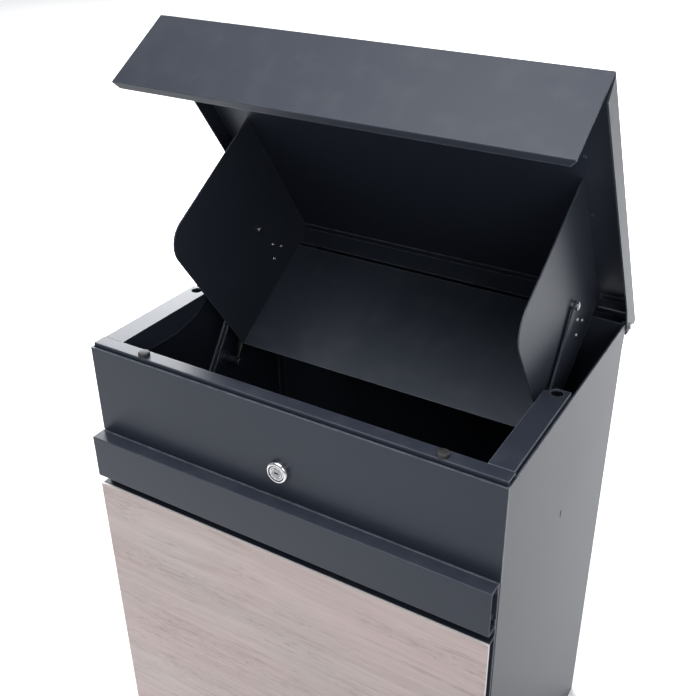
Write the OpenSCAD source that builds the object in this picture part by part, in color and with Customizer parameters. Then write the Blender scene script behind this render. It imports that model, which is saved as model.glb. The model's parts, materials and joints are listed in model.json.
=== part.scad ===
// Parcel drop box: a sheet-steel cabinet with a rain lid that carries a swing-in parcel scoop,
// two slotted lid stays, one gas strut, a wood-faced fold-down collection door and a cam lock.
// X runs to the right, Y to the back and Z up; the origin is the middle of the underside.

/* [Cabinet] */
// Width over the side panels
body_w = 430; // [360:5:560]
// Depth from the front face to the back face
body_d = 304; // [285:1:400]
// Height of the front panel's top edge above the ground
body_h = 530; // [470:5:760]
// Thickness of the sheet steel
sheet = 1.5; // [1.2:0.1:1.8]
// Height of the fixed panel above the door, which holds the lock
front_panel_h = 95; // [88:1:116]
// Height of the plinth below the door
plinth_h = 18; // [17:0.5:24]
// Width of the folded edges that face the door
jamb_w = 18; // [14:1:24]
// Depth of the flanges folded on the rear and base panels
flange_w = 12; // [9:0.5:16]

/* [Rim] */
// Rise of the rim above the front panel
rim_rise = 4; // [3:0.5:5]
// Width of a side rail over its channel
side_rail_w = 24; // [20:1:28]
// Length of a side rail from the front face
side_rail_len = 147; // [120:1:160]
// Depth of the side rails' inner web
side_rail_drop = 25; // [18:1:30]
// Gap between the front panel and the front rail
rim_groove = 1.5; // [1:0.1:2]
// Width of the front rail
front_rail_w = 14; // [13:0.5:18]
// Radius of the round hole near the end of a side rail
rail_hole_r = 5.8; // [4:0.1:6.5]
// Distance of each rubber bumper from the middle
bumper_x = 155; // [90:1:165]
// Radius of a rubber bumper
bumper_r = 5.5; // [4:0.1:6]
// Height of a rubber bumper above the rim
bumper_h = 4; // [2:0.1:4.5]

/* [Lid] */
// Gap between the rim and the underside of the closed lid
lid_rise = 6; // [5:0.1:7]
// How far the lid stands in front of the cabinet
lid_front = 22; // [20:0.5:30]
// How far the lid stands behind the cabinet
lid_back = 27; // [25:0.5:30]
// Gap between a lid flange and the side panel
lid_side_gap = 0.5; // [0.4:0.1:1]
// Height of the lid's front flap
flap_h = 86.6; // [80:0.2:88]
// Depth of the folded lip under the flap
flap_lip = 8; // [6:0.5:10]
// Depth of the lid's side flanges
lid_flange = 20; // [17:0.5:22]
// Depth of the lid's rear skirt
lid_skirt = 20; // [16:0.5:24]
// Lid opening angle
lid_open = 56.8; // [40:0.1:56.8]
// Distance of the hinge line behind the cabinet's back face
hinge_back = 10; // [9:0.5:12]
// Distance of the hinge line below the front panel's top edge
hinge_drop = 6.5; // [6:0.5:9]
// Radius of the hinge bolts
hinge_bolt_r = 2; // [1.8:0.1:2.5]
// Radius of the ear around a hinge bolt
hinge_ear_r = 6; // [5.5:0.5:7]

/* [Scoop] */
// Distance from the side panel's face to the scoop cheek's face
cheek_inset = 34.2; // [33:0.1:45]
// Gap between the closed scoop and the rear panel
scoop_rear_gap = 1.3; // [1:0.1:3]
// Length of a scoop cheek, front to back
cheek_len = 192; // [150:1:198]
// Depth of the scoop below the lid's top face
scoop_depth = 165.5; // [120:0.5:180]
// Distance of the scoop floor's upper edge below the lid's top face
floor_top_drop = 26; // [25:0.5:34]
// Radius of the cheek's free corner
cheek_corner_r = 28; // [16:1:40]
// Depth of the stiffener under the lid in front of the scoop floor
stiffener_h = 22; // [16:0.5:24]

/* [Lid stays] */
// Distance of the stay pivot in front of the hinge line, lid closed
stay_pivot_y = 94.4; // [88:0.2:100]
// Distance of the stay pivot below the hinge line, lid closed
stay_pivot_z = 44.6; // [40:0.2:50]
// Distance from the pivot to the guide pin, lid open
stay_reach = 180; // [175:1:184]
// Slope of the open stay below the horizontal
stay_slope = 55.5; // [54:0.5:57]
// Width of a stay
stay_w = 10; // [9:0.5:12]
// Thickness of a stay
stay_t = 2; // [1.6:0.1:2.4]
// Width of the slot in a stay
stay_slot_w = 4.4; // [4:0.1:5]

/* [Gas strut] */
// Distance of the strut's wall stud in front of the hinge line
strut_foot_y = 126; // [122:1:130]
// Distance of the strut's wall stud below the hinge line
strut_foot_z = 99.3; // [96:0.5:104]
// Distance of the strut's cheek stud in front of the hinge line, lid closed
strut_head_y = 49.3; // [46:0.5:52]
// Distance of the strut's cheek stud below the hinge line, lid closed
strut_head_z = 39.8; // [37:0.5:42]
// Radius of the strut's cylinder
strut_r = 4.5; // [4:0.1:5.2]
// Radius of the strut's rod
strut_rod_r = 2; // [1.5:0.1:2.5]

/* [Door] */
// Height of the grip strip along the door's top
trim_h = 47; // [40:1:56]
// How far the grip strip stands in front of the cabinet
trim_proud = 16.3; // [15:0.1:18]
// Gap between the grip strip and the wood board
grip_gap = 11; // [9:0.5:16]
// How far the wood board stands in front of the cabinet
wood_proud = 15; // [14:0.1:16]
// Thickness of the wood board
wood_t = 2.5; // [2:0.1:4]
// Gap between the door and the cabinet's front
door_gap = 1.2; // [1:0.1:1.6]
// How far the door's top edge laps over the fixed panel's lower edge
door_lap = 1; // [0.5:0.1:2]
// Gap below the door
door_end_gap = 2; // [1.5:0.1:3]
// Radius of the door's hinge pin
door_pin_r = 1.5; // [1.2:0.1:1.7]
// Outer radius of the door hinge's knuckles
door_knuckle_r = 3.5; // [3:0.1:3.7]

/* [Lock] */
// Distance of the lock below the front panel's top edge
lock_drop = 65; // [60:0.5:68]
// Radius of the lock's bezel
bezel_r = 11.2; // [10.5:0.1:13]
// How far the bezel stands in front of the panel
bezel_proud = 5.2; // [4:0.1:6]
// Radius of the lock's barrel
barrel_r = 9; // [8:0.1:9.5]
// Length of the barrel behind the panel's face
barrel_len = 16; // [14:0.5:20]
// Radius of the turning plug
plug_r = 6; // [5:0.1:6.5]
// Length of the cam from the plug's centre
cam_len = 38; // [36:0.5:40]

/* [Fixings] */
// Radius of the ground anchor holes
anchor_r = 4.5; // [3:0.1:6]
// Distance between the anchor holes across the width
anchor_dx = 300; // [200:5:330]
// Distance between the anchor holes across the depth
anchor_dy = 200; // [140:5:230]
// Radius of the wall fixing holes
wall_hole_r = 4.2; // [3:0.1:6]
// Distance between the wall fixing holes across the width
wall_dx = 300; // [200:5:330]
// Distance between the wall fixing holes over the height
wall_dz = 330; // [250:5:360]

/* [Hidden] */
$fn = 48;

running_gap = 0.05;                 // radial clearance of a turning fit
seat = 0.3;                         // gap between two bodies that only lie near each other
y_front = -body_d / 2;
y_back = body_d / 2;
x_side = body_w / 2;
x_wall = x_side - sheet;            // inner face of a side panel
rim_z = body_h + rim_rise;
rail_y0 = y_front + sheet + rim_groove;       // front face of the front rail
rail_y1 = rail_y0 + front_rail_w;
rail_step = 1.3;                    // how far a side rail steps inwards above the side panel
rivet_r = 2.2;
rivet_head = 1.2;
rivet_shank_r = 1.5;

// Lid, described in its closed position and turned open about the hinge line
hinge_y = y_back + hinge_back;
hinge_z = body_h - hinge_drop;
lid_under = rim_z + lid_rise;
lid_top = lid_under + sheet;
lid_y0 = y_front - lid_front;
lid_y1 = y_back + lid_back;
lid_x = x_side + lid_side_gap + sheet;
flap_bottom = lid_top - flap_h;

// Scoop
cheek_x = x_side - cheek_inset;     // outer face of a cheek
scoop_y1 = y_back - sheet - scoop_rear_gap;   // back face of the scoop floor
floor_y = scoop_y1 - sheet;         // face of the scoop floor that a parcel lies on
cheek_y0 = scoop_y1 - cheek_len;
scoop_z0 = lid_top - scoop_depth;
scoop_z1 = lid_top - floor_top_drop;
stiffener_y = floor_y - 3.2;        // back face of the stiffener

// Stay: the pivot is on the lid, the guide pin on the side wall
pivot_y = hinge_y - stay_pivot_y;
pivot_z = hinge_z - stay_pivot_z;
open_pivot = hinge_turn([pivot_y, pivot_z], -lid_open);
guide_yz = open_pivot + stay_reach * [-cos(stay_slope), -sin(stay_slope)];
closed_reach = norm(guide_yz - [pivot_y, pivot_z]);
stay_end = 9;                       // material beyond each end of the slot
stay_washer = 2.2;                  // spacer between cheek and stay
stay_x0 = cheek_x + stay_washer;
stay_x1 = stay_x0 + stay_t;
stay_bolt_r = 2.5;
stay_head_r = 4;
guide_pin_r = (stay_slot_w - 0.6) / 2;

// Gas strut, on the left side only
strut_x = -(cheek_x + (x_wall - cheek_x) * 0.42);
foot_yz = [hinge_y - strut_foot_y, hinge_z - strut_foot_z];
head_closed = [hinge_y - strut_head_y, hinge_z - strut_head_z];
head_open = hinge_turn(head_closed, -lid_open);
strut_open = norm(head_open - foot_yz);
strut_closed = norm(head_closed - foot_yz);
strut_slope = atan2(head_open[1] - foot_yz[1], head_open[0] - foot_yz[0]);
stud_r = 3;
eye_r = 5.5;
eye_t = 5;
strut_neck = 10;                    // thin end of the cylinder at its eye
strut_cyl_0 = eye_r - 0.6;
strut_cyl_1 = strut_closed - 16;
strut_bore_0 = strut_cyl_0 + strut_neck + 1;

// Door, hung on a strip hinge along its lower edge
panel_z0 = body_h - front_panel_h;  // lower edge of the fixed panel
door_top = panel_z0 + door_lap;
door_y = y_front - door_gap;        // back face of the door
door_z0 = plinth_h + door_end_gap;
door_x = x_side - 0.4;
trim_y = y_front - trim_proud;
trim_z0 = door_top - trim_h;
wood_y = y_front - wood_proud;
wood_z1 = trim_z0 - grip_gap;
carrier_y = wood_y + wood_t;        // front face of the carrier, behind the board
plate_y = door_y - sheet;           // front face of the door's back plate
pin_y = y_front - door_knuckle_r - 0.7;
pin_z = plinth_h - door_knuckle_r + 0.5;
leaf_t = 1.2;
leaf_half = door_x - 20;
knuckles = 11;

// Lock
lock_z = body_h - lock_drop;
cam_t = 2;
cam_w = 12;
nut_r = 11.5;
nut_t = 4;
cam_y = y_front + barrel_len + seat;
catch_y = cam_y + cam_t + 1;        // front face of the catch's lip
catch_w = 34;
catch_room = catch_w;               // half the gap in the panel's lower flange, left free for the catch

STEEL = [0.24, 0.26, 0.29];
STEEL_LIGHT = [0.40, 0.42, 0.45];
INSIDE = [0.16, 0.17, 0.20];
ZINC = [0.78, 0.79, 0.80];
RUBBER = [0.06, 0.06, 0.06];
WOOD = [0.72, 0.66, 0.64];

// Turns a [y, z] point about the hinge line; positive closes the lid
function hinge_turn(p, a) = [
    hinge_y + cos(a) * (p[0] - hinge_y) - sin(a) * (p[1] - hinge_z),
    hinge_z + sin(a) * (p[0] - hinge_y) + cos(a) * (p[1] - hinge_z)
];

// Box between two opposite corners
module slab(a, b) {
    translate(a) cube(b - a);
}

// Outline in the [y, z] plane, extruded from x0 to x1
module yz_prism(x0, x1) {
    translate([x0, 0, 0]) rotate([90, 0, 90]) linear_extrude(x1 - x0) children();
}

// Cylinder along X between x0 and x1 at a [y, z] point
module x_rod(p, x0, x1, r) {
    translate([x0, p[0], p[1]]) rotate([0, 90, 0]) cylinder(h = x1 - x0, r = r);
}

// Cylinder along Y between y0 and y1
module y_rod(x, z, y0, y1, r) {
    translate([x, y0, z]) rotate([-90, 0, 0]) cylinder(h = y1 - y0, r = r);
}

// Mirror image across the middle plane
module other_side() {
    mirror([1, 0, 0]) children();
}

// The lid's parts are drawn closed and stand open
module opened() {
    translate([0, hinge_y, hinge_z]) rotate([-lid_open, 0, 0]) translate([0, -hinge_y, -hinge_z]) children();
}

// Blind rivet with a domed head and a collar, along X, through plates from x0 to x1
module x_rivet(p, x0, x1) {
    x_rod(p, x0, x1, rivet_shank_r);
    x_rod(p, x1, x1 + rivet_head, rivet_r);
    x_rod(p, x0 - rivet_head, x0, rivet_r);
}

// Hexagon nut along X
module x_nut(p, x0, x1, across, bore_r) {
    difference() {
        translate([x0, p[0], p[1]]) rotate([0, 90, 0]) cylinder(h = x1 - x0, d = across / cos(30), $fn = 6);
        x_rod(p, x0 - 1, x1 + 1, bore_r);
    }
}

// ---- cabinet ----

module side_panel_right_shape() {
    top_notch = body_h - front_panel_h;
    difference() {
        union() {
            slab([x_wall, y_front, 0], [x_side, y_back, body_h]);
            slab([x_side - jamb_w, y_front, plinth_h], [x_side, y_front + sheet, top_notch]);
            slab([x_side - jamb_w, y_front + sheet, plinth_h], [x_wall, y_front + 2 * sheet, top_notch]);
        }
        slab([x_wall - 1, y_front - 1, top_notch], [x_side + 1, y_front + sheet, body_h + 1]);
        // small vertical slot in the outer skin
        translate([x_wall - 1, y_front + 150, body_h - 133]) rotate([0, 90, 0])
            linear_extrude(sheet + 2) {
                square([6, 3], center = true);
                translate([-3, 0]) circle(r = 1.5);
                translate([3, 0]) circle(r = 1.5);
            }
    }
}

module side_panel_right() {
    color(STEEL_LIGHT) side_panel_right_shape();
}

module side_panel_left() {
    color(STEEL_LIGHT) other_side() side_panel_right_shape();
}

module rear_panel() {
    x1 = x_wall;
    color(STEEL) difference() {
        union() {
            slab([-x1, y_back - sheet, 0], [x1, y_back, body_h]);
            for (s = [-1, 1])
                slab([s > 0 ? x1 - sheet : -x1, y_back - sheet - flange_w, plinth_h],
                     [s > 0 ? x1 : -x1 + sheet, y_back - sheet, body_h - 2 * hinge_ear_r]);
        }
        for (sx = [-1, 1], sz = [-1, 1])
            y_rod(sx * wall_dx / 2, body_h / 2 + sz * wall_dz / 2, y_back - sheet - 1, y_back + 1, wall_hole_r);
    }
}

module base_panel() {
    x1 = x_wall;
    y0 = y_front + sheet;
    y1 = y_back - sheet;
    color(STEEL) difference() {
        union() {
            slab([-x1, y0, 0], [x1, y1, sheet]);
            slab([-x1, y_front, 0], [x1, y0, plinth_h]);
            slab([-x1, y0, plinth_h - sheet], [x1, y0 + flange_w, plinth_h]);
            for (s = [-1, 1])
                slab([s > 0 ? x1 - sheet : -x1, y0 + flange_w + 1, sheet],
                     [s > 0 ? x1 : -x1 + sheet, y1 - flange_w - 1, flange_w]);
        }
        for (sx = [-1, 1], sy = [-1, 1])
            translate([sx * anchor_dx / 2, sy * anchor_dy / 2, -1]) cylinder(h = sheet + 2, r = anchor_r);
    }
}

module upper_front_panel() {
    z0 = panel_z0;
    x1 = x_side;
    color(STEEL) difference() {
        union() {
            slab([-x1, y_front, z0], [x1, y_front + sheet, body_h]);
            // spacer strip between the panel and the front rail
            slab([-x_wall, y_front + sheet, body_h - 13], [x_wall, rail_y0, body_h - 5]);
            for (s = [-1, 1])
                slab([s > 0 ? catch_room : -x_wall, y_front + sheet, z0],
                     [s > 0 ? x_wall : -catch_room, y_front + flange_w, z0 + sheet]);
        }
        y_rod(0, lock_z, y_front - 1, y_front + 4 * sheet, barrel_r + running_gap);
    }
}

// ---- rim ----

module front_rail() {
    web = side_rail_drop * 0.7;
    color(STEEL_LIGHT) difference() {
        slab([-x_wall, rail_y0, rim_z - web], [x_wall, rail_y1, rim_z]);
        slab([-x_wall - 1, rail_y0 + sheet, rim_z - web - 1], [x_wall + 1, rail_y1 - sheet, rim_z - sheet]);
    }
}

// Inverted channel whose outer flange lies on the side panel and steps inwards above it
module side_rail_right_shape() {
    y1 = y_front + side_rail_len;
    x0 = x_wall - side_rail_w;
    low = rim_z - side_rail_drop;
    step_z = body_h - 4;
    top_x = x_wall - rail_step;
    chamfer = 9;
    taper = 55;
    difference() {
        translate([0, y1, 0]) rotate([90, 0, 0]) linear_extrude(y1 - rail_y1)
            polygon([
                [x0, low], [x0, rim_z], [top_x, rim_z], [top_x, step_z + rail_step], [x_wall, step_z],
                [x_wall, low], [x_wall - sheet, low], [x_wall - sheet, step_z - sheet / 2],
                [top_x - sheet, step_z + rail_step - sheet / 2], [top_x - sheet, rim_z - sheet],
                [x0 + sheet, rim_z - sheet], [x0 + sheet, low]
            ]);
        // chamfered rear corner
        translate([x0, y1, low - 1]) linear_extrude(side_rail_drop + 2)
            polygon([[-1, 1], [-1, -chamfer], [0, -chamfer], [chamfer, 0], [chamfer, 1]]);
        // the webs run out towards the rear end
        yz_prism(x0 - 1, x_wall + 1)
            polygon([
                [y1 - taper, low - 1], [y1 - taper, low], [y1 - taper * 0.45, rim_z - side_rail_drop * 0.72],
                [y1 - taper * 0.12, rim_z - 6], [y1 + 1, rim_z - 6], [y1 + 1, low - 1]
            ]);
        translate([x_wall - side_rail_w / 2, y1 - 7.5, rim_z - sheet - 1])
            cylinder(h = sheet + 2, r = rail_hole_r);
    }
}

module side_rail_right() {
    color(STEEL_LIGHT) side_rail_right_shape();
}

module side_rail_left() {
    color(STEEL_LIGHT) other_side() side_rail_right_shape();
}

// Rivet heads that hold the side rails to the side panels
module rail_rivets() {
    z = rim_z - side_rail_drop + 9;
    color(ZINC) for (m = [0, 1], y = [y_front + 35, y_front + 75])
        mirror([m, 0, 0]) x_rod([y, z], x_wall - sheet - rivet_head, x_wall - sheet, rivet_r);
}

module rubber_bumpers() {
    color(RUBBER) for (s = [-1, 1])
        translate([s * bumper_x, rail_y0 + bumper_r, rim_z]) {
            cylinder(h = bumper_h * 0.62, r = bumper_r);
            translate([0, 0, bumper_h * 0.62]) cylinder(h = bumper_h * 0.38, r = bumper_r * 0.82);
        }
}

// ---- lid hinge ----

module hinge_bracket_right_shape() {
    ear_t = 2.5;
    foot_w = 26;
    ear_end = hinge_ear_r - 1;
    difference() {
        union() {
            slab([x_side - foot_w, y_back, hinge_z - 3 * hinge_ear_r], [x_side, y_back + 2, hinge_z + 4]);
            slab([x_side - ear_t, y_back + 2, hinge_z - ear_end], [x_side, hinge_y, hinge_z + ear_end * 0.6]);
            x_rod([hinge_y, hinge_z], x_side - ear_t, x_side, ear_end);
        }
        x_rod([hinge_y, hinge_z], x_side - ear_t - 1, x_side + 1, hinge_bolt_r + running_gap);
    }
}

module hinge_bracket_right() {
    color(STEEL) hinge_bracket_right_shape();
}

module hinge_bracket_left() {
    color(STEEL) other_side() hinge_bracket_right_shape();
}

module hinge_bolts() {
    ear_t = 2.5;
    color(ZINC) for (m = [0, 1]) mirror([m, 0, 0]) {
        x_rod([hinge_y, hinge_z], x_side - ear_t - 4, lid_x + seat, hinge_bolt_r);
        x_rod([hinge_y, hinge_z], lid_x + seat, lid_x + seat + 1.8, hinge_bolt_r + 1.4);
    }
}

module hinge_nuts() {
    ear_t = 2.5;
    color(ZINC) for (m = [0, 1]) mirror([m, 0, 0])
        x_nut([hinge_y, hinge_z], x_side - ear_t - 3, x_side - ear_t, 7, hinge_bolt_r + running_gap);
}

// ---- lid and scoop, in one moving body ----

// Side flange of the lid: mitred at the front, drawn down to a point below the hinge bolt
module lid_flange_outline() {
    z = lid_top - lid_flange;
    tip_z = hinge_z - hinge_ear_r;
    y0 = lid_y0 + sheet + 2;
    difference() {
        polygon([
            [y0, lid_top - sheet], [y0 + 9, z], [hinge_y - 5 * hinge_ear_r, z], [hinge_y - hinge_ear_r, tip_z],
            [hinge_y + hinge_ear_r * 0.7, tip_z], [lid_y1 - sheet, lid_top - 5], [lid_y1 - sheet, lid_top - sheet]
        ]);
        translate([hinge_y, hinge_z]) circle(r = hinge_bolt_r + running_gap);
    }
}

module lid_cover() {
    lip_cut = 5;
    skirt_x = lid_x - sheet - 2;
    color(STEEL) opened() {
        slab([-lid_x, lid_y0, lid_under], [lid_x, lid_y1, lid_top]);
        slab([-lid_x, lid_y0, flap_bottom], [lid_x, lid_y0 + sheet, lid_under]);
        translate([0, 0, flap_bottom]) linear_extrude(sheet)
            polygon([
                [-lid_x, lid_y0 + sheet], [-lid_x + lip_cut, lid_y0 + flap_lip],
                [lid_x - lip_cut, lid_y0 + flap_lip], [lid_x, lid_y0 + sheet]
            ]);
        slab([-skirt_x, lid_y1 - sheet, lid_top - lid_skirt], [skirt_x, lid_y1, lid_under]);
        for (m = [0, 1]) mirror([m, 0, 0]) yz_prism(lid_x - sheet, lid_x) lid_flange_outline();
    }
}

// Angles under the lid: a deep one between the cheeks and a shallow one outside each of them
module lid_stiffener() {
    inner = cheek_x - sheet - 1;
    outer0 = cheek_x + 2;
    outer1 = x_wall - 1.5;
    outer_y = stiffener_y + 4;
    foot = 10;
    color(STEEL) opened() {
        slab([-inner, stiffener_y - sheet, lid_under - stiffener_h], [inner, stiffener_y, lid_under]);
        slab([-inner, stiffener_y - foot, lid_under - sheet], [inner, stiffener_y - sheet, lid_under]);
        for (m = [0, 1]) mirror([m, 0, 0]) {
            slab([outer0, outer_y - sheet, lid_under - stiffener_h / 2], [outer1, outer_y, lid_under]);
            slab([outer0, outer_y - foot, lid_under - sheet], [outer1, outer_y - sheet, lid_under]);
        }
    }
}

module scoop_floor() {
    color(STEEL) opened() slab([-cheek_x, floor_y, scoop_z0], [cheek_x, scoop_y1, scoop_z1]);
}

// Rivets of the strut bracket, three round the strut's stud
function head_rivet(k) = head_closed + 10.4 * [-cos(120 * k), sin(120 * k)];

module scoop_cheek_right_shape() {
    difference() {
        yz_prism(cheek_x - sheet, cheek_x) {
            translate([cheek_y0, scoop_z0 + cheek_corner_r])
                square([floor_y - cheek_y0, lid_under - scoop_z0 - cheek_corner_r]);
            translate([cheek_y0 + cheek_corner_r, scoop_z0])
                square([floor_y - cheek_y0 - cheek_corner_r, cheek_corner_r]);
            translate([cheek_y0 + cheek_corner_r, scoop_z0 + cheek_corner_r]) circle(r = cheek_corner_r);
        }
        x_rod([pivot_y, pivot_z], cheek_x - sheet - 1, cheek_x + 1, stay_bolt_r + running_gap);
        for (k = [0:2]) x_rod(head_rivet(k), cheek_x - sheet - 1, cheek_x + 1, rivet_shank_r + running_gap);
    }
}

module scoop_cheek_right() {
    color(STEEL) opened() scoop_cheek_right_shape();
}

module scoop_cheek_left() {
    color(STEEL) opened() other_side() scoop_cheek_right_shape();
}

module scoop_rivets() {
    color(ZINC) opened() for (k = [0:2]) {
        x_rivet(head_rivet(k), cheek_x - sheet, cheek_x);
        x_rivet(head_rivet(k), -cheek_x - sheet, -cheek_x + sheet);
    }
}

module stay_bolts() {
    head_x = stay_x1 + seat;
    color(ZINC) opened() for (m = [0, 1]) mirror([m, 0, 0]) {
        x_rod([pivot_y, pivot_z], cheek_x - sheet - 2, head_x, stay_bolt_r);
        x_rod([pivot_y, pivot_z], cheek_x, stay_x0 - running_gap, stay_head_r);
        x_rod([pivot_y, pivot_z], head_x, head_x + 2, stay_head_r);
        x_rod([pivot_y, pivot_z], head_x + 2, head_x + 2.8, stay_head_r * 0.7);
    }
}

// Domed nuts on the inner faces of the cheeks
module stay_nuts() {
    x1 = cheek_x - sheet;
    color(ZINC) opened() for (m = [0, 1]) mirror([m, 0, 0]) difference() {
        union() {
            x_rod([pivot_y, pivot_z], x1 - 1.6, x1, 4);
            x_rod([pivot_y, pivot_z], x1 - 2.6, x1 - 1.6, 3.2);
        }
        x_rod([pivot_y, pivot_z], x1 - 2, x1 + 1, stay_bolt_r + running_gap);
    }
}

module strut_head_bracket() {
    plate_x = -cheek_x - sheet;
    color(STEEL_LIGHT) opened() {
        difference() {
            yz_prism(plate_x, -cheek_x) translate(head_closed) circle(r = 15);
            for (k = [0:2]) x_rod(head_rivet(k), plate_x - 1, -cheek_x + 1, rivet_shank_r + running_gap);
        }
        x_rod(head_closed, strut_x + eye_t / 2 + seat, plate_x, stud_r);
    }
}

// ---- stays ----

// Flat bar from the pivot down to beyond the guide pin, in the plane of the open stay
module stay_outline() {
    translate(open_pivot) rotate(180 + stay_slope) difference() {
        union() {
            translate([0, -stay_w / 2]) square([stay_reach + stay_end - stay_w / 2, stay_w]);
            circle(r = stay_w / 2);
            translate([stay_reach + stay_end - stay_w / 2, 0]) circle(r = stay_w / 2);
        }
        circle(r = stay_bolt_r + running_gap);
        translate([closed_reach, -stay_slot_w / 2]) square([stay_reach - closed_reach, stay_slot_w]);
        for (s = [closed_reach, stay_reach]) translate([s, 0]) circle(r = stay_slot_w / 2);
    }
}

module stay_right() {
    color(STEEL_LIGHT) yz_prism(stay_x0, stay_x1) stay_outline();
}

module stay_left() {
    color(STEEL_LIGHT) other_side() yz_prism(stay_x0, stay_x1) stay_outline();
}

// Boss and pin on the side wall; the pin ends just short of the stay that slides past it
module stay_guide_right_shape() {
    x_rod(guide_yz, x_wall - sheet, x_wall, 7);
    x_rod(guide_yz, stay_x1 + 6, x_wall - sheet, 5);
    x_rod(guide_yz, stay_x1 + seat, stay_x1 + 6, guide_pin_r + 1.5);
}

module stay_guide_right() {
    color(STEEL) stay_guide_right_shape();
}

module stay_guide_left() {
    color(STEEL) other_side() stay_guide_right_shape();
}

// ---- gas strut ----

// Places children along the open strut: local Z runs from the foot stud to the head stud
module along_strut() {
    translate([strut_x, foot_yz[0], foot_yz[1]]) rotate([strut_slope - 90, 0, 0]) children();
}

module strut_eye(bore_r) {
    rotate([0, 90, 0]) difference() {
        cylinder(h = eye_t, r = eye_r, center = true);
        cylinder(h = eye_t + 2, r = bore_r, center = true);
    }
}

module strut_foot_bracket() {
    x_in = strut_x + eye_t / 2 + seat;
    color(STEEL) {
        x_rod(foot_yz, -x_wall, -x_wall + sheet, 8);
        x_rod(foot_yz, -x_wall + sheet, strut_x - eye_t / 2 - seat, 4.5);
        x_rod(foot_yz, strut_x - eye_t / 2 - seat, x_in, stud_r);
        x_rod(foot_yz, x_in, x_in + 1.5, stud_r + 1);
    }
}

module strut_cylinder() {
    body_0 = strut_cyl_0 + strut_neck;
    color(INSIDE) along_strut() {
        strut_eye(stud_r + running_gap);
        translate([0, 0, strut_cyl_0]) cylinder(h = strut_neck, r = eye_t / 2);
        translate([0, 0, body_0 - 3]) cylinder(h = 1.6, r = strut_r + 0.6);
        difference() {
            translate([0, 0, body_0]) cylinder(h = strut_cyl_1 - body_0, r = strut_r);
            translate([0, 0, strut_bore_0]) cylinder(h = strut_cyl_1, r = strut_rod_r + running_gap);
        }
    }
}

module strut_rod() {
    stroke = strut_open - strut_closed;
    rod_0 = strut_bore_0 + stroke + 2;
    color(ZINC) along_strut() {
        translate([0, 0, rod_0]) cylinder(h = strut_open - eye_r + 0.6 - rod_0, r = strut_rod_r);
        translate([0, 0, strut_open - eye_r - 6]) cylinder(h = 6.6, r = eye_t / 2);
        translate([0, 0, strut_open]) strut_eye(stud_r + seat);
    }
}

// ---- door ----

module door_back_plate() {
    color(STEEL) slab([-door_x, plate_y, door_z0], [door_x, door_y, door_top]);
}

// Full-width grip: a channel with open ends, whose lips lie on the back plate
module grip_strip() {
    lip = 9;
    color(STEEL) yz_prism(-door_x, door_x) difference() {
        translate([trim_y, trim_z0]) square([plate_y - trim_y, trim_h]);
        translate([trim_y + sheet, trim_z0 + sheet]) square([plate_y - trim_y - 2 * sheet, trim_h - 2 * sheet]);
        translate([plate_y - 2 * sheet, trim_z0 + lip]) square([2 * sheet + 1, trim_h - 2 * lip]);
    }
}

// Folded pan with open ends behind the board
module wood_carrier() {
    leaf_room = leaf_t + seat;
    color(STEEL) {
        slab([-door_x, carrier_y, door_z0], [door_x, carrier_y + sheet, wood_z1]);
        slab([-door_x, carrier_y + sheet, wood_z1 - sheet], [door_x, plate_y, wood_z1]);
        slab([-door_x, carrier_y + sheet, door_z0], [door_x, plate_y - leaf_room, door_z0 + sheet]);
    }
}

module wood_board() {
    color(WOOD) slab([-door_x, wood_y, door_z0], [door_x, carrier_y, wood_z1]);
}

// Knuckles numbered from the left; the door has the even ones
module knuckle_row(first, y0, y1, z0, z1) {
    pitch = 2 * leaf_half / knuckles;
    difference() {
        union() for (k = [first:2:knuckles - 1]) {
            x0 = -leaf_half + k * pitch + seat / 2;
            x1 = x0 + pitch - seat;
            x_rod([pin_y, pin_z], x0, x1, door_knuckle_r);
            slab([x0, y0, z0], [x1, y1, z1]);
        }
        x_rod([pin_y, pin_z], -leaf_half - 1, leaf_half + 1, door_pin_r + running_gap);
    }
}

module door_hinge_leaf() {
    top = pin_z + 32;
    edge = pin_z + door_knuckle_r + seat;
    color(ZINC) {
        knuckle_row(0, plate_y - leaf_t, plate_y, pin_z, edge);
        slab([-leaf_half, plate_y - leaf_t, edge], [leaf_half, plate_y, top]);
    }
}

module body_hinge_leaf() {
    edge = pin_z - door_knuckle_r - seat;
    color(ZINC) {
        knuckle_row(1, y_front - leaf_t, y_front, edge, pin_z);
        slab([-leaf_half, y_front - leaf_t, 2], [leaf_half, y_front, edge]);
    }
}

module door_hinge_pin() {
    color(ZINC) x_rod([pin_y, pin_z], -leaf_half, leaf_half, door_pin_r);
}

// Angle on the door's back that the lock's cam drops in front of
module door_catch() {
    lip_top = panel_z0 - 3;
    shelf = lip_top - 15;
    color(ZINC) {
        slab([-catch_w / 2, door_y, shelf - 14], [catch_w / 2, door_y + sheet, shelf + sheet]);
        slab([-catch_w / 2, door_y + sheet, shelf], [catch_w / 2, catch_y + sheet, shelf + sheet]);
        slab([-catch_w / 2, catch_y, shelf + sheet], [catch_w / 2, catch_y + sheet, lip_top]);
    }
}

// ---- lock ----

module lock_housing() {
    rim = 1.4;
    color(ZINC) difference() {
        union() {
            y_rod(0, lock_z, y_front, y_front + barrel_len, barrel_r);
            y_rod(0, lock_z, y_front - bezel_proud + rim, y_front, bezel_r);
            translate([0, y_front - bezel_proud + rim, lock_z]) rotate([90, 0, 0])
                cylinder(h = rim, r1 = bezel_r, r2 = bezel_r - rim);
        }
        y_rod(0, lock_z, y_front - bezel_proud - 1, y_front + barrel_len + 1, plug_r + running_gap);
    }
}

module lock_nut() {
    y0 = y_front + sheet;
    color(ZINC) difference() {
        translate([0, y0, lock_z]) rotate([-90, 0, 0]) cylinder(h = nut_t, r = nut_r, $fn = 6);
        y_rod(0, lock_z, y0 - 1, y0 + nut_t + 1, barrel_r + running_gap);
    }
}

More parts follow.
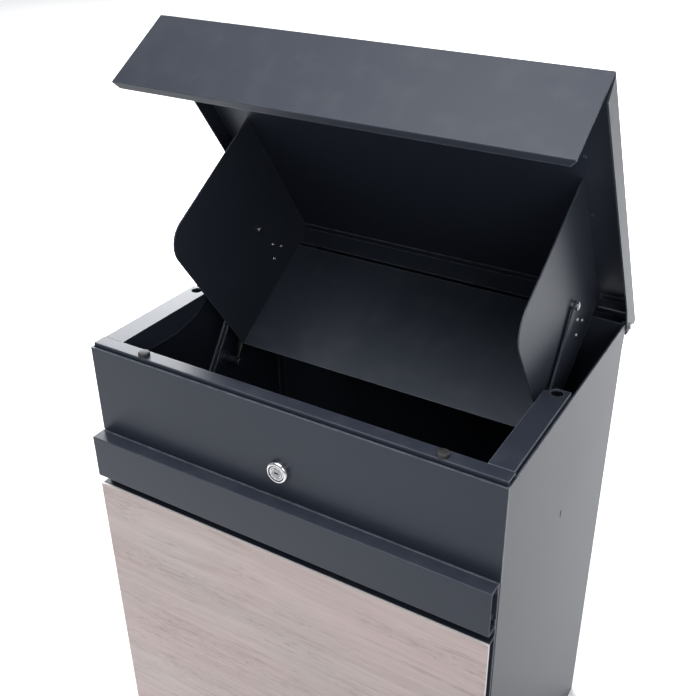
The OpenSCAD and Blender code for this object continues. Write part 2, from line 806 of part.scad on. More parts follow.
module lock_plug() {
    face = y_front - bezel_proud + 0.8;
    key_w = 1.6;
    key_h = 8;
    color(ZINC) difference() {
        union() {
            y_rod(0, lock_z, face, cam_y, plug_r);
            y_rod(0, lock_z, cam_y, cam_y + cam_t, plug_r * 0.65);
        }
        slab([-key_h / 2, face - 1, lock_z - key_w / 2], [key_h / 2, face + 3, lock_z + key_w / 2]);
    }
}

module lock_cam() {
    color(ZINC) difference() {
        union() {
            y_rod(0, lock_z, cam_y, cam_y + cam_t, cam_w / 2 + 1.5);
            slab([0, cam_y, lock_z - cam_w / 2], [cam_len - cam_w / 2, cam_y + cam_t, lock_z + cam_w / 2]);
            y_rod(cam_len - cam_w / 2, lock_z, cam_y, cam_y + cam_t, cam_w / 2);
        }
        y_rod(0, lock_z, cam_y - 1, cam_y + cam_t + 1, plug_r * 0.65 + running_gap);
    }
}

module cam_screw() {
    color(ZINC) y_rod(0, lock_z, cam_y + cam_t, cam_y + cam_t + 2.5, 5);
}

side_panel_left();
side_panel_right();
rear_panel();
base_panel();
upper_front_panel();
front_rail();
side_rail_left();
side_rail_right();
rail_rivets();
rubber_bumpers();
hinge_bracket_left();
hinge_bracket_right();
hinge_bolts();
hinge_nuts();
stay_guide_left();
stay_guide_right();
strut_foot_bracket();
lid_cover();
lid_stiffener();
scoop_floor();
scoop_cheek_left();
scoop_cheek_right();
scoop_rivets();
stay_bolts();
stay_nuts();
strut_head_bracket();
stay_left();
stay_right();
strut_cylinder();
strut_rod();
door_back_plate();
grip_strip();
wood_carrier();
wood_board();
door_hinge_leaf();
door_hinge_pin();
body_hinge_leaf();
door_catch();
lock_housing();
lock_nut();
lock_plug();
lock_cam();
cam_screw();
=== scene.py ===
# %% [markdown]
# # A parcel drop box in its studio
# The solids of the box come packed from the CAD model, in metres: X to the right, Y to the back, Z up.
# This lesson keeps them where they are. It rounds the folded sheet metal, adds small turned and welded
# details, and gives every piece a finish made of shader nodes.

# %% Load the frame
import json
import math

import bmesh
import bpy
from mathutils import Matrix, Vector


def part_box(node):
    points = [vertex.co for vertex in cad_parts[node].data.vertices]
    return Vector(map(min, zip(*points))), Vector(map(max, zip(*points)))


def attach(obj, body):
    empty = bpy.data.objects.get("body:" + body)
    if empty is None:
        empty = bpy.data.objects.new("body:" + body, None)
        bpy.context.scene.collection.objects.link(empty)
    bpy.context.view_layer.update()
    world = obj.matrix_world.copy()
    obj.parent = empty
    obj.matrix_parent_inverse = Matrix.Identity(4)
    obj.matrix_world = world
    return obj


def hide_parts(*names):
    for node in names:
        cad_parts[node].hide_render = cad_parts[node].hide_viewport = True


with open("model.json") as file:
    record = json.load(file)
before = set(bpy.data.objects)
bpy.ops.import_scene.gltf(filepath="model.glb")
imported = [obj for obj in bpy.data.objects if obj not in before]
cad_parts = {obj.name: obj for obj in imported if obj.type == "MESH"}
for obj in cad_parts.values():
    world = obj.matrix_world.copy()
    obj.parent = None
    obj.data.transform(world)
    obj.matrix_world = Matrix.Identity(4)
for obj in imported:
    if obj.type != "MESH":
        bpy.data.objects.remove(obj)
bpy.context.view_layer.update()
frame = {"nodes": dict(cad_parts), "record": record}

nodes = frame["nodes"]
slot_of = {row["node"]: row["material_slot"] for row in frame["record"]["subparts"]}
body_of = {n: b for b, members in frame["record"]["behaviour"]["bodies"].items() for n in members}
print("solids in the frame:", len(nodes))

# %% [markdown]
# ## Shader maths as plain expressions
# A finish is a small sum: colour here, roughness there, both moved by noise. Written out as nodes, such a
# sum is hard to read. The class below wraps one output socket, so that `1 - mask` or `noise * 0.2` adds the
# Math node by itself. Its method `node` makes any other node from its type, settings and inputs.

# %% A socket with arithmetic
MIX_FACTOR, MIX_A, MIX_B, MIX_RESULT = 0, 6, 7, 2    # places of the colour sockets on a Mix node


class Wire:
    def __init__(self, tree, socket=None):
        self.tree = tree
        self.socket = socket

    def node(self, kind, settings=None, inputs=None, output=0):
        made = self.tree.nodes.new("ShaderNode" + kind)
        for key, value in (settings or {}).items():
            setattr(made, key, value)
        for key, value in (inputs or {}).items():
            if isinstance(value, Wire):
                self.tree.links.new(value.socket, made.inputs[key])
            else:
                made.inputs[key].default_value = value
        return Wire(self.tree, made.outputs[output])

    def math(self, operation, *values, clamp=False):
        settings = {"operation": operation, "use_clamp": clamp}
        return self.node("Math", settings, dict(enumerate(values)))

    def __add__(self, other):
        return self.math("ADD", self, other)

    def __sub__(self, other):
        return self.math("SUBTRACT", self, other)

    def __mul__(self, other):
        return self.math("MULTIPLY", self, other)

    def __rsub__(self, other):
        return self.math("SUBTRACT", other, self)

    __radd__ = __add__
    __rmul__ = __mul__

    def clamped(self):
        """The same value, kept between 0 and 1."""
        return self.math("ADD", self, 0.0, clamp=True)

    def over(self, low, high):
        """0 below low, 1 above high, smooth between."""
        inputs = {"Value": self, "From Min": low, "From Max": high}
        return self.node("MapRange", {"interpolation_type": "SMOOTHSTEP"}, inputs)

    def mix(self, first, second):
        """A colour that goes from first to second with this value."""
        a, b = (c if isinstance(c, Wire) else (*c, 1.0) for c in (first, second))
        inputs = {MIX_A: a, MIX_B: b, MIX_FACTOR: self}
        return self.node("Mix", {"data_type": "RGBA"}, inputs, output=MIX_RESULT)


print("socket class ready, with", sum(name.startswith("__") for name in vars(Wire)), "special methods")

# %% [markdown]
# ## Places on the surface
# Every pattern needs coordinates. Each piece keeps its place in its mesh, so object coordinates are metres in
# the frame's axes: a noise of scale 500 has grains of 2 mm on any piece. When the coordinates are multiplied
# along one axis, the grains get shorter that way and stay long the other ways. Brushed metal and wood fibres
# are made so.

# %% Coordinates, noise and a new material
def object_place(wire):
    return wire.node("TexCoord", output="Object")


def scaled(wire, place, factors):
    return wire.node("Mapping", {}, {"Vector": place, "Scale": factors})


def stretched(wire, factors):
    return scaled(wire, object_place(wire), factors)


def noise(wire, scale, detail=2.0, roughness=0.5, place=None):
    inputs = {"Scale": scale, "Detail": detail, "Roughness": roughness}
    inputs["Vector"] = place if place else object_place(wire)
    return wire.node("TexNoise", {}, inputs)


def bumped(wire, height, distance):
    return wire.node("Bump", {}, {"Height": height, "Distance": distance, "Strength": 1.0})


finishes = {}


def finish(name, make):
    """A new material, whose shader sockets are what make(wire) returns."""
    material = bpy.data.materials.new(name)
    material.use_nodes = True
    tree = material.node_tree
    shader = tree.nodes["Principled BSDF"]
    for key, value in make(Wire(tree)).items():
        if isinstance(value, Wire):
            tree.links.new(value.socket, shader.inputs[key])
        else:
            shader.inputs[key].default_value = value
    finishes[name] = material
    print("finish", name, "has", len(tree.nodes), "nodes")
    return material


# %% [markdown]
# ## Powder coat
# The sheet metal is coated with an anthracite powder that melts into a skin with a fine orange-peel texture.
# Edges and folds get a painted highlight: a much lighter colour for the light lines that their rounds catch,
# and less roughness. The mask of the edges compares the rounded normal from a Bevel node with the true one.
# Slow noise moves the roughness, as hands and wiping do, and a little dust lightens faces that look up.
# Pieces inside the box get a lighter copy of the coat, painted light for the shade inside the box, and a
# duller one.

# %% The powder coat
def edge_mask(wire, radius):
    rounded = wire.node("Bevel", {"samples": 4}, {"Radius": radius})
    flat = wire.node("NewGeometry", output="Normal")
    likeness = wire.node("VectorMath", {"operation": "DOT_PRODUCT"}, {0: rounded, 1: flat}, output="Value")
    return (1 - likeness).over(0.01, 0.18)


def facing(wire, axis):
    """How much a face looks along an axis (0 is X, 1 is Y, 2 is Z); it goes with a piece that moves."""
    normal = wire.node("TexCoord", output="Normal")
    return wire.node("SeparateXYZ", {}, {"Vector": normal}, output=axis)


def powder_coat(colour, lighter_edges, base_roughness):
    def make(wire):
        cloudy = noise(wire, 6.0, 3.0)
        peel = noise(wire, 850.0, 2.0)
        grain = noise(wire, 2600.0, 1.0)
        edges = edge_mask(wire, 0.0013) * noise(wire, 90.0, 3.0).over(0.15, 0.55)
        darker = tuple(c * 0.95 for c in colour)
        lighter = tuple(c * 1.05 for c in colour)
        paint = cloudy.over(0.3, 0.7).mix(darker, lighter)
        # painted highlight: edges and folds are mixed toward a much lighter colour
        paint = (edges * 0.65).mix(paint, lighter_edges)
        dust = facing(wire, 2).over(0.3, 1.0) * noise(wire, 40.0, 4.0).over(0.45, 0.75)
        paint = (dust * 0.02).mix(paint, (0.5, 0.5, 0.5))
        roughness = cloudy * 0.04 + grain * 0.06 + (base_roughness - 0.05) - edges * 0.08
        return {
            "Base Color": paint,
            "Roughness": roughness.clamped(),
            "Normal": bumped(wire, peel + grain * 0.4, 0.00005),
            "Specular IOR Level": 0.34,
            "Specular Tint": (0.86, 0.92, 1.0, 1.0),
        }
    return make


# the colour of the painted highlight on edges and folds
EDGE_HIGHLIGHT = (0.27, 0.30, 0.35)
ANTHRACITE = (0.021, 0.0255, 0.038)
# a lighter copy of the coat for the pieces inside the box: painted light for their shade
ANTHRACITE_INSIDE_PAINTED_LIGHT = (0.029, 0.0350, 0.049)
finish("powder_coat", powder_coat(ANTHRACITE, EDGE_HIGHLIGHT, 0.40))
finish("powder_coat_inside_painted_light", powder_coat(ANTHRACITE_INSIDE_PAINTED_LIGHT, EDGE_HIGHLIGHT, 0.44))

# %% [markdown]
# ## Zinc, chrome, nickel, rubber and enamel
# Fasteners are zinc plated: metallic, with a dull crystalline mottle. The lock's bezel and the strut's rod
# are chromed and only show fine wiping marks, which are long thin noise. The lock's plug is brushed nickel,
# darker than chrome. The rubber is nearly black and matt. The strut's cylinder has a smooth black enamel.

# %% The small finishes
def zinc(wire):
    mottle = noise(wire, 420.0, 4.0, 0.7)
    fine = noise(wire, 3000.0, 1.0)
    lighter_edges = edge_mask(wire, 0.0005)
    tint = mottle.over(0.3, 0.7).mix((0.50, 0.51, 0.53), (0.74, 0.75, 0.77))
    return {
        "Base Color": (lighter_edges * 0.5).mix(tint, (0.85, 0.85, 0.86)),
        "Metallic": 1.0,
        "Roughness": (mottle * 0.22 + 0.22).clamped(),
        "Normal": bumped(wire, fine, 0.00002),
    }


def chrome(wire):
    wiping = noise(wire, 60.0, 3.0, place=stretched(wire, (40.0, 8.0, 8.0)))
    specks = noise(wire, 1500.0, 1.0).over(0.70, 0.78)
    return {
        "Base Color": specks.mix((0.70, 0.70, 0.72), (0.55, 0.55, 0.57)),
        "Metallic": 1.0,
        "Roughness": (wiping * 0.10 + specks * 0.1 + 0.09).clamped(),
        "Normal": bumped(wire, wiping, 0.000012),
    }


def nickel(wire):
    brushed = noise(wire, 30.0, 4.0, 0.6, place=stretched(wire, (12.0, 1.0, 60.0)))
    return {
        "Base Color": brushed.over(0.3, 0.7).mix((0.20, 0.20, 0.21), (0.36, 0.36, 0.37)),
        "Metallic": 1.0,
        "Roughness": (brushed * 0.2 + 0.2).clamped(),
        "Normal": bumped(wire, brushed, 0.00002),
    }


def rubber(wire):
    bloom = noise(wire, 300.0, 4.0)
    return {
        "Base Color": bloom.over(0.3, 0.8).mix((0.008, 0.008, 0.009), (0.030, 0.030, 0.032)),
        "Roughness": (bloom * 0.2 + 0.5).clamped(),
        "Normal": bumped(wire, noise(wire, 1800.0, 2.0), 0.00008),
    }


def enamel(wire):
    flow = noise(wire, 30.0, 2.0)
    lighter_edges = edge_mask(wire, 0.0006) * noise(wire, 200.0, 2.0).over(0.4, 0.6)
    return {
        "Base Color": (lighter_edges * 0.4).mix((0.012, 0.012, 0.014), (0.09, 0.09, 0.10)),
        "Roughness": (flow * 0.12 + 0.26).clamped(),
        "Normal": bumped(wire, noise(wire, 700.0, 1.0), 0.00002),
    }


for name, make in (("zinc", zinc), ("chrome", chrome), ("nickel", nickel), ("rubber", rubber),
                   ("enamel", enamel)):
    finish(name, make)

# %% [markdown]
# ## Wood decor
# The door's face is a pale oak decor, grey-beige with pinkish clouds, and its grain runs across the width.
# Its layers are soft bands from the growth rings, thin fibres, darker veins, and short dark pores that stand
# in flocks. Each layer is a noise that is squeezed upright, so that it stays long across the width. Slow
# noise bends all of them together. The board's narrow sides are painted pale, a painted highlight for the
# light lines along its edges.

# %% The oak
def oak(wire):
    sway = noise(wire, 3.0, 2.0, place=stretched(wire, (1.0, 1.0, 2.5))) * 0.02
    drift = wire.node("CombineXYZ", {}, {"Z": sway})
    bent = wire.node("VectorMath", {"operation": "ADD"}, {0: object_place(wire), 1: drift})

    def along_grain(squeeze, scale, detail, roughness=0.55):
        return noise(wire, scale, detail, roughness, scaled(wire, bent, (1.0, 1.0, squeeze)))

    bands = along_grain(11.0, 4.0, 4.0)
    rings = along_grain(24.0, 8.0, 4.0, 0.6)
    fibres = along_grain(34.0, 26.0, 3.0, 0.6)
    flocks = along_grain(5.0, 9.0, 2.0).over(0.44, 0.62)
    pores = along_grain(18.0, 80.0, 2.0).over(0.56, 0.64) * flocks
    vein_areas = along_grain(4.0, 6.0, 2.0).over(0.38, 0.58)
    veins = along_grain(14.0, 12.0, 5.0, 0.7).over(0.53, 0.64) * vein_areas
    clouds = noise(wire, 6.0, 2.0, place=stretched(wire, (0.8, 1.0, 1.6))).over(0.35, 0.65)
    stripes = (bands * 0.5 + rings * 0.5).over(0.30, 0.70)
    grey = stripes.mix((0.390, 0.328, 0.312), (0.475, 0.412, 0.394))
    pink = stripes.mix((0.405, 0.318, 0.308), (0.495, 0.398, 0.385))
    tone = clouds.mix(grey, pink)
    tone = (fibres.over(0.50, 0.75) * 0.22).mix(tone, (0.60, 0.55, 0.52))
    tone = (veins * 0.62).mix(tone, (0.315, 0.240, 0.225))
    tone = (pores * 0.50).mix(tone, (0.20, 0.15, 0.14))
    front = facing(wire, 1) * -1.0
    # painted highlight: the board's narrow sides go pale
    painted_side_highlight = (1 - front).over(0.5, 0.9)
    tone = (painted_side_highlight * 0.8).mix(tone, (0.72, 0.69, 0.68))
    relief = rings * 0.4 + fibres * 0.4 - pores * 0.8
    return {
        "Base Color": tone,
        "Roughness": (0.56 - stripes * 0.06 + pores * 0.1).clamped(),
        "Normal": bumped(wire, relief, 0.00008),
    }


finish("oak", oak)

# %% [markdown]
# ## Folded sheet metal
# A press brake leaves a round on the outside of a bend, and that round is what catches light along the edges
# of a steel box. The packed solids have sharp folds, so each sheet part gets a copy whose fold edges are
# bevelled: a fold is an outer edge between two faces that are both clearly wider than the sheet is thick.
# Cut and punched edges only get a hair-thin round. The copy stands in for the CAD node.

# %% Find the folds
SHEET = 0.0015                      # thickness of the sheet
FOLD = 0.0017                       # rounding of a fold, on its outer side
CUT = 0.00022                       # rounding of a cut edge
FOLD_ANGLE = math.radians(35)       # an outer edge that turns by more than this may be a fold
SMOOTH_ANGLE = math.radians(32)     # an edge that turns by less than this is shaded smooth
BREAK_ANGLE = math.radians(40)      # an edge that turns by more than this gets a hair-thin round


def face_width(face, edge):
    start = edge.verts[0].co
    along = (edge.verts[1].co - start).normalized()
    away = [(v.co - start) - (v.co - start).dot(along) * along for v in face.verts]
    return max(a.length for a in away)


def clean_mesh(source):
    bm = bmesh.new()
    bm.from_mesh(source.data)
    bmesh.ops.remove_doubles(bm, verts=bm.verts, dist=1e-6)
    bmesh.ops.dissolve_limit(bm, angle_limit=math.radians(1), verts=bm.verts, edges=bm.edges)
    bmesh.ops.recalc_face_normals(bm, faces=bm.faces)
    return bm


def outer_angle(edge):
    return edge.calc_face_angle_signed(0.0) if len(edge.link_faces) == 2 else 0.0


def fold_edges(bm):
    return [e for e in bm.edges
            if outer_angle(e) > FOLD_ANGLE and e.calc_length() > 3 * SHEET
            and all(face_width(f, e) > 1.6 * SHEET for f in e.link_faces)]


lid_mesh = clean_mesh(nodes["lid_cover"])
print("folds on the lid:", len(fold_edges(lid_mesh)))
lid_mesh.free()


# %% Make a piece from a mesh
def new_piece(name, bm, material, body):
    for face in bm.faces:
        face.smooth = True
    for edge in bm.edges:
        edge.smooth = len(edge.link_faces) == 2 and edge.calc_face_angle(0.0) < SMOOTH_ANGLE
    mesh = bpy.data.meshes.new(name)
    bm.to_mesh(mesh)
    bm.free()
    piece = bpy.data.objects.new(name, mesh)
    bpy.context.scene.collection.objects.link(piece)
    piece.data.materials.append(finishes[material])
    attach(piece, body)
    return piece


def soften(piece, name, width):
    """A live bevel on the piece's sharp edges."""
    soft = piece.modifiers.new(name, "BEVEL")
    soft.width = width
    soft.segments = 2
    soft.limit_method = "ANGLE"
    soft.angle_limit = BREAK_ANGLE


print("finishes to choose from:", ", ".join(finishes))


# %% Round the folds
def fills_well(bm):
    """True if the triangles that fill the faces have the faces' own area."""
    trial = bpy.data.meshes.new("trial")
    bm.to_mesh(trial)
    trial.calc_loop_triangles()
    filled = sum(t.area for t in trial.loop_triangles)
    bpy.data.meshes.remove(trial)
    return abs(filled / sum(f.calc_area() for f in bm.faces) - 1) < 0.0005


def rounded(node):
    """The node's mesh with its folds rounded; U-shaped faces are split first where that fills better."""
    for split_first in (True, False):
        bm = clean_mesh(nodes[node])
        folds = fold_edges(bm)
        if split_first:
            bmesh.ops.connect_verts_concave(bm, faces=bm.faces)
        if folds:
            bmesh.ops.bevel(bm, geom=folds, offset=FOLD, segments=4, profile=0.5, affect="EDGES",
                            clamp_overlap=True)
        if fills_well(bm):
            return bm, len(folds)
        bm.free()
    raise ValueError(node + " does not round cleanly")


def sheet_piece(node, material):
    bm, folds = rounded(node)
    piece = new_piece(node + "_sheet", bm, material, body_of[node])
    soften(piece, "hair-thin round", CUT)
    even = piece.modifiers.new("even shading", "WEIGHTED_NORMAL")
    even.keep_sharp = True
    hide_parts(node)
    print(node, "folds rounded:", folds)


# the pieces inside the box get the lighter coat, painted light for their shade
inside = {"scoop_floor", "scoop_cheek_left", "scoop_cheek_right", "strut_head_bracket", "base_panel",
          "rear_panel", "door_back_plate"}
sheet_nodes = [n for n in nodes if slot_of[n] in ("painted_panel", "painted_rim", "painted_lid")]
for n in sheet_nodes:
    sheet_piece(n, "powder_coat_inside_painted_light" if n in inside else "powder_coat")

# %% [markdown]
# ## Turned pieces
# The lock, the bumpers and the rivets are round. Each gets its outline as a short list of points, a place
# along the axis and a radius in millimetres, which is then turned about the axis. Arcs in an outline come
# from a formula. Sizes are measured on the packed solids where these have them.

# %% A small lathe
MM = 0.001


def arc(middle, radius, start, end, steps=6):
    """Outline points on an arc; angles in degrees, 0 along the axis and 90 away from it."""
    angles = [math.radians(start + (end - start) * k / steps) for k in range(steps + 1)]
    return [(middle[0] + radius * math.cos(a), middle[1] + radius * math.sin(a)) for a in angles]


def turned(bm, centre, axis, outline, hollow=False, sides=56):
    """Turns an outline about an axis; a hollow one closes on itself, any other gets two end faces."""
    turn = Vector((0.0, 0.0, 1.0)).rotation_difference(Vector(axis)).to_matrix()
    circle = [(math.cos(math.tau * k / sides), math.sin(math.tau * k / sides)) for k in range(sides)]
    rings = [[bm.verts.new(Vector(centre) + turn @ Vector((c * r, s * r, along)) * MM) for c, s in circle]
             for along, r in outline]
    joined = list(zip(rings, rings[1:] + rings[:1])) if hollow else list(zip(rings, rings[1:]))
    for near, far in joined:
        for k in range(sides):
            bm.faces.new((near[k - 1], near[k], far[k], far[k - 1]))
    if not hollow:
        bm.faces.new(rings[0])
        bm.faces.new(rings[-1])
    bmesh.ops.recalc_face_normals(bm, faces=bm.faces)


def middle_of(node):
    low, high = (Vector(corner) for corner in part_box(node))
    return (low + high) / 2, low, high


def islands(node):
    """The lowest and highest corner of each separate solid in a node."""
    bm = clean_mesh(nodes[node])
    seen, found = set(), []
    for first in bm.verts:
        if first in seen:
            continue
        seen.add(first)
        group = [first]
        for vert in group:
            near = [e.other_vert(vert) for e in vert.link_edges if e.other_vert(vert) not in seen]
            seen.update(near)
            group += near
        found.append([Vector([pick(v.co[i] for v in group) for i in range(3)]) for pick in (min, max)])
    bm.free()
    return found


print("separate bumpers:", len(islands("rubber_bumpers")), "and rivets:", len(islands("scoop_rivets")))

# %% Lock bezel
panel_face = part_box("upper_front_panel")[0][1]
lock_middle, lock_low, lock_high = middle_of("lock_housing")
lock_at = Vector((lock_middle.x, panel_face, lock_middle.z))
outwards = Vector((0.0, -1.0, 0.0))
proud = (panel_face - lock_low.y) / MM
reach = (lock_high.y - panel_face) / MM
bezel = (lock_high.z - lock_middle.z) / MM
plug = (middle_of("lock_plug")[2].z - lock_middle.z) / MM
bore = plug + 0.05
BARREL = 9.0                     # radius of the barrel behind the panel
BEVELLED = 0.3                   # small bevels on the barrel and the bezel's foot
FRONT_ROUND = 2.6                # the bezel's rounded front edge
groove_outer = bezel - 3.0       # a groove in the bezel's front, which holds a black ring as painted shadow
groove_inner = bezel - 4.0
groove_floor = proud - 2.2


def lock_ring(name, outline, material, node):
    """A hollow piece turned about the lock's axis; along the axis, 0 is the panel's face."""
    bm = bmesh.new()
    turned(bm, lock_at, outwards, outline, hollow=True)
    return new_piece(name, bm, material, body_of[node])


bezel_outline = [(-reach, bore), (-reach, BARREL - BEVELLED), (BEVELLED - reach, BARREL), (0.0, BARREL),
                 (0.0, bezel - BEVELLED), (BEVELLED, bezel)]
bezel_outline += arc((proud - FRONT_ROUND, bezel - FRONT_ROUND), FRONT_ROUND, 90, 12, 9)
bezel_outline += [(proud - 0.1, groove_outer + 0.1), (groove_floor, groove_outer),
                  (groove_floor, groove_inner), (proud - 0.7, groove_inner - 0.1),
                  (proud - 0.6, bore + 0.3), (proud - 0.9, bore)]
lock_bezel = lock_ring("lock_bezel", bezel_outline, "chrome", "lock_housing")
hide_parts("lock_housing")
print("bezel radius", round(bezel, 1), "mm, standing out", round(proud, 1), "mm")

# %% Rings on the lock's face
face = proud - 0.8               # the plug's face
plug_ring = [(face - 0.2, 4.4), (face + 0.25, 4.5), (face + 0.35, 4.8), (face + 0.25, 5.1),
             (face - 0.2, 5.2)]
# painted shadow: a black ring fills the bezel's groove
shadow_front, shadow_back = proud - 1.5, proud - 2.4
bezel_shadow_ring = [(shadow_back, groove_inner), (shadow_front, groove_inner + 0.05),
              (shadow_front, groove_outer - 0.05), (shadow_back, groove_outer)]
plug_face = [(face - 0.1, 2.3), (face + 0.06, 2.35), (face + 0.06, 4.3), (face - 0.1, 4.35)]
lock_ring("plug_ring", plug_ring, "chrome", "lock_plug")
lock_ring("bezel_shadow_ring", bezel_shadow_ring, "rubber", "lock_housing")
lock_ring("plug_face", plug_face, "nickel", "lock_plug")
print("rings on the lock: the plug's ring and face, and the painted_shadow_ring in the bezel's groove")

# %% Rubber bumpers
DOME = 1.6                       # rounding of a bumper's shoulder
HAIR = 0.02                      # a radius so small that a point closes
bm = bmesh.new()
for low, high in islands("rubber_bumpers"):
    radius = (high.x - low.x) / 2 / MM
    rise = (high.z - low.z) / MM
    shoulder = rise - DOME - 0.3
    outline = [(0.0, radius), (shoulder, radius)]
    outline += arc((shoulder, radius - DOME), DOME, 90, 20)
    outline += [(rise - 0.1, radius * 0.5), (rise, HAIR)]
    turned(bm, ((low.x + high.x) / 2, (low.y + high.y) / 2, low.z), (0.0, 0.0, 1.0), outline)
bumper_domes = new_piece("bumper_domes", bm, "rubber", body_of["rubber_bumpers"])
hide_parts("rubber_bumpers")
print("bumpers: radius", round(radius, 1), "mm, height", round(rise, 1), "mm")

# %% Blind rivets in the cheeks
bm = bmesh.new()
for low, high in islands("scoop_rivets"):
    half = (high.x - low.x) / 2 / MM
    radius = (high.z - low.z) / 2 / MM
    mandrel_hole = [(half - 0.5, 0.3), (half - 0.5, 0.8), (half, 0.9)]
    dome = [(half - 0.1, 1.4), (half - 0.5, radius - 0.25), (half - 1.0, radius)]
    shank = [(half - 1.2, radius - 0.05), (half - 1.2, 1.5)]
    head = mandrel_hole + dome + shank
    other_head = [(-along, r) for along, r in reversed(head)]
    turned(bm, (low + high) / 2, (1.0, 0.0, 0.0), head + other_head, sides=28)
rivet_heads = new_piece("scoop_rivet_heads", bm, "zinc", body_of["scoop_rivets"])
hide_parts("scoop_rivets")
print("rivets: radius", round(radius, 1), "mm, length over both heads", round(2 * half, 1), "mm")

# %% [markdown]
# ## Small marks of the making
# The cheeks are spot welded to the lid, which leaves flat round beads under the lid beside them.
# They are placed on the closed lid, then turned open about the hinge line with the rest of the lid. A small
# bent tab sits inside the right end of the grip strip.

# %% Weld beads
BEAD_PLACES = (45.0, 155.0, 235.0)                            # mm in front of the hinge line
BEAD = [(-0.2, 1.7), (0.15, 1.6), (0.35, 1.1), (0.42, HAIR)]    # mm below the lid, and radius
BESIDE_CHEEK = 4 * MM
hinge = middle_of("hinge_bolts")[0]
joint = next(j for j in frame["record"]["behaviour"]["joints"] if j["name"] == "lid_hinge")
opening = math.radians(joint["range_deg"][1])
to_open = Matrix.Translation(hinge) @ Matrix.Rotation(-opening, 4, "X") @ Matrix.Translation(-hinge)
to_closed = to_open.inverted()
closed_lid = [to_closed @ v.co for v in nodes["lid_cover"].data.vertices]
underside = max(p.z for p in closed_lid) - SHEET
cheek_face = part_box("scoop_cheek_right")[1][0]
bm = bmesh.new()
for side in (-1, 1):
    for ahead_of_hinge in BEAD_PLACES:
        spot = Vector((side * (cheek_face + BESIDE_CHEEK), hinge.y - ahead_of_hinge * MM, underside))
        turned(bm, to_open @ spot, to_open.to_3x3() @ Vector((0.0, 0.0, -1.0)), BEAD, sides=20)
new_piece("weld_beads", bm, "powder_coat_inside_painted_light", body_of["lid_cover"])
print("weld beads:", 2 * len(BEAD_PLACES), "on a lid that is open by", joint["range_deg"][1], "degrees")


# %% The strip's tab
def extruded(bm, outline, x0, x1):
    """An outline of (y, z) points, drawn out along X."""
    near, far = ([bm.verts.new((x, y, z)) for y, z in outline] for x in (x0, x1))
    bm.faces.new(near)
    bm.faces.new(far)
    for k in range(len(outline)):
        bm.faces.new((near[k - 1], near[k], far[k], far[k - 1]))
    bmesh.ops.recalc_face_normals(bm, faces=bm.faces)


TAB_OUTLINE = [(0.0, 0.0), (0.0, 11.0), (-1.2, 11.0), (-1.2, 9.8), (-7.0, 9.8), (-7.0, 8.6), (-1.2, 8.6),
               (-1.2, 0.0)]      # (y, z) in mm from the strip's back edge and its lower flange
TAB_INNER_END, TAB_OUTER_END = 20 * MM, 3 * MM      # in from the strip's right end
strip_low, strip_high = (Vector(corner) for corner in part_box("grip_strip"))
tab_z = strip_low.z + SHEET
tab_y = strip_high.y
tab = [(tab_y + y * MM, tab_z + z * MM) for y, z in TAB_OUTLINE]
bm = bmesh.new()
extruded(bm, tab, strip_high.x - TAB_INNER_END, strip_high.x - TAB_OUTER_END)
new_piece("strip_tab", bm, "powder_coat_inside_painted_light", body_of["grip_strip"])
print("tab in the strip:", round((TAB_INNER_END - TAB_OUTER_END) / MM), "mm long")

# %% [markdown]
# ## The solids that stay
# The remaining fasteners, the strut, the lock's inner parts and the board already have their true shape. They
# keep their packed mesh, and only get a finish by their material slot and a soft edge.

# %% Finishes for the solids that stay as they are
SOFT = 0.00035                   # rounding of their edges
turned_nodes = ("lock_housing", "rubber_bumpers", "scoop_rivets")
slot_finish = {"bright_zinc": "zinc", "chrome": "chrome", "black_rubber": "rubber",
               "strut_black": "enamel", "strut_rod": "chrome", "wood_decor": "oak"}
for n, node in nodes.items():
    if n not in sheet_nodes and n not in turned_nodes:
        node.data.materials.clear()
        node.data.materials.append(finishes["nickel" if n == "lock_plug" else slot_finish[slot_of[n]]])
        soften(node, "soft edge", SOFT)
print("solids kept:", len(nodes) - len(sheet_nodes) - len(turned_nodes))

# %% [markdown]
# ## Studio
# The box stands on a pale floor that runs far out, under an even sky and soft panels. Coated metal shows what
# it mirrors, so each panel is placed for one side of the box. The lid's flap mirrors the top panel, and faces
# that look up mirror the one at the back left. The right side mirrors the lit floor behind it, and is much
# lighter than the front, which only has a weak panel. The last panel whitens the floor far behind.

# %% Floor
FLOOR_REACH = 30.0
bm = bmesh.new()
bmesh.ops.create_grid(bm, x_segments=24, y_segments=24, size=FLOOR_REACH)
floor_mesh = bpy.data.meshes.new("floor")
bm.to_mesh(floor_mesh)
bm.free()
floor = bpy.data.objects.new("floor", floor_mesh)
bpy.context.scene.collection.objects.link(floor)


def pale_floor(wire):
    cloud = noise(wire, 1.5, 3.0)
    return {"Base Color": cloud.mix((0.86, 0.86, 0.86), (0.90, 0.90, 0.90)), "Roughness": 0.8}


floor.data.materials.append(finish("pale_floor", pale_floor))

# %% Lights
world = bpy.data.worlds.new("studio")
bpy.context.scene.world = world
world.use_nodes = True
sky = world.node_tree.nodes["Background"]
sky.inputs["Color"].default_value = (0.94, 0.97, 1.0, 1.0)
sky.inputs["Strength"].default_value = 0.38


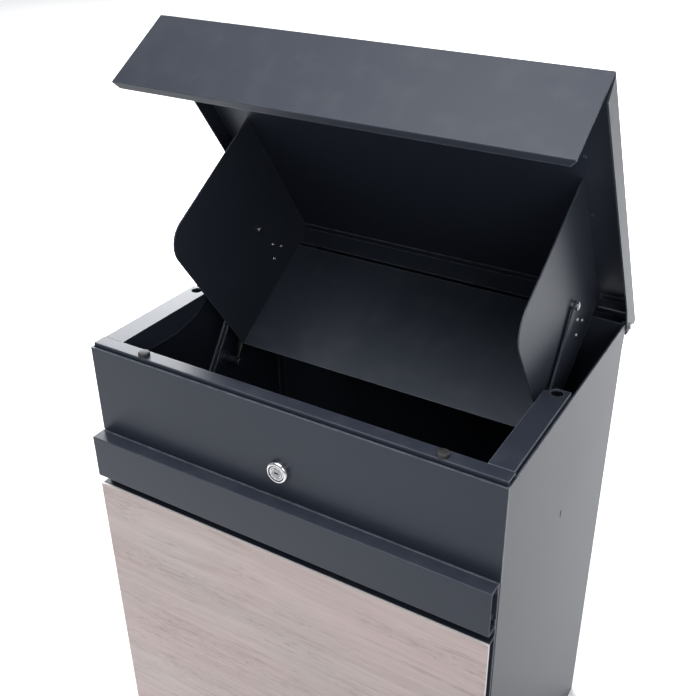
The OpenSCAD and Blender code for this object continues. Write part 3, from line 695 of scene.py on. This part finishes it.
def soft_panel(name, place, target, width, height, power):
    """A rectangular area light that points from its place to a target."""
    light = bpy.data.lights.new(name, "AREA")
    light.shape = "RECTANGLE"
    light.size = width
    light.size_y = height
    light.energy = power
    lamp = bpy.data.objects.new(name, light)
    bpy.context.scene.collection.objects.link(lamp)
    lamp.location = place
    lamp.rotation_euler = (Vector(target) - Vector(place)).to_track_quat("-Z", "Y").to_euler()


soft_panel("top_panel", (-0.18, -0.5, 2.5), (0.0, 0.0, 0.6), 1.8, 1.8, 54.0)
soft_panel("front_panel", (1.3, -1.3, 1.4), (-0.1, 0.0, 0.6), 0.9, 0.9, 8.0)
soft_panel("back_left_panel", (-1.5, 1.9, 1.4), (0.0, 0.0, 0.5), 2.0, 1.4, 105.0)
soft_panel("right_panel", (2.2, 2.0, 0.6), (0.2, 0.2, 0.2), 1.6, 1.0, 8.0)
soft_panel("floor_panel", (0.9, 1.3, 0.9), (0.5, 0.7, 0.0), 0.8, 0.8, 7.0)
soft_panel("backdrop_panel", (-0.8, 2.2, 2.6), (-2.4, 5.4, 0.0), 3.0, 2.0, 320.0)

# %% [markdown]
# ## Camera
# The camera stands to the front right, above the box, and looks down on the open lid. It is turned, nodded
# and rolled by three angles, and its lens is shifted a little, so the box stands off the middle.

# %% Camera
PLACE = Vector((0.4004, -0.6765, 0.9665))
TURN, NOD, ROLL = 0.503, -0.488, 0.012      # radians: turned left, nodded down, and rolled
ahead = Vector((-math.sin(TURN) * math.cos(NOD), math.cos(TURN) * math.cos(NOD), math.sin(NOD)))
level = Vector((math.cos(TURN), math.sin(TURN), 0.0))
up = level.cross(ahead)
right = level * math.cos(ROLL) + up * math.sin(ROLL)
top = up * math.cos(ROLL) - level * math.sin(ROLL)
lens = bpy.data.cameras.new("camera")
lens.sensor_width = 36.0
lens.lens = 47.31
lens.shift_x = -0.0623
lens.shift_y = -0.0433
lens.clip_start = 0.01
camera = bpy.data.objects.new("camera", lens)
bpy.context.scene.collection.objects.link(camera)
camera.matrix_world = Matrix.Translation(PLACE) @ Matrix((right, top, -ahead)).transposed().to_4x4()
bpy.context.scene.camera = camera
bpy.context.scene.view_settings.view_transform = "Standard"
print("camera at", [round(v, 3) for v in camera.location])

# %% Done
bpy.context.view_layer.update()
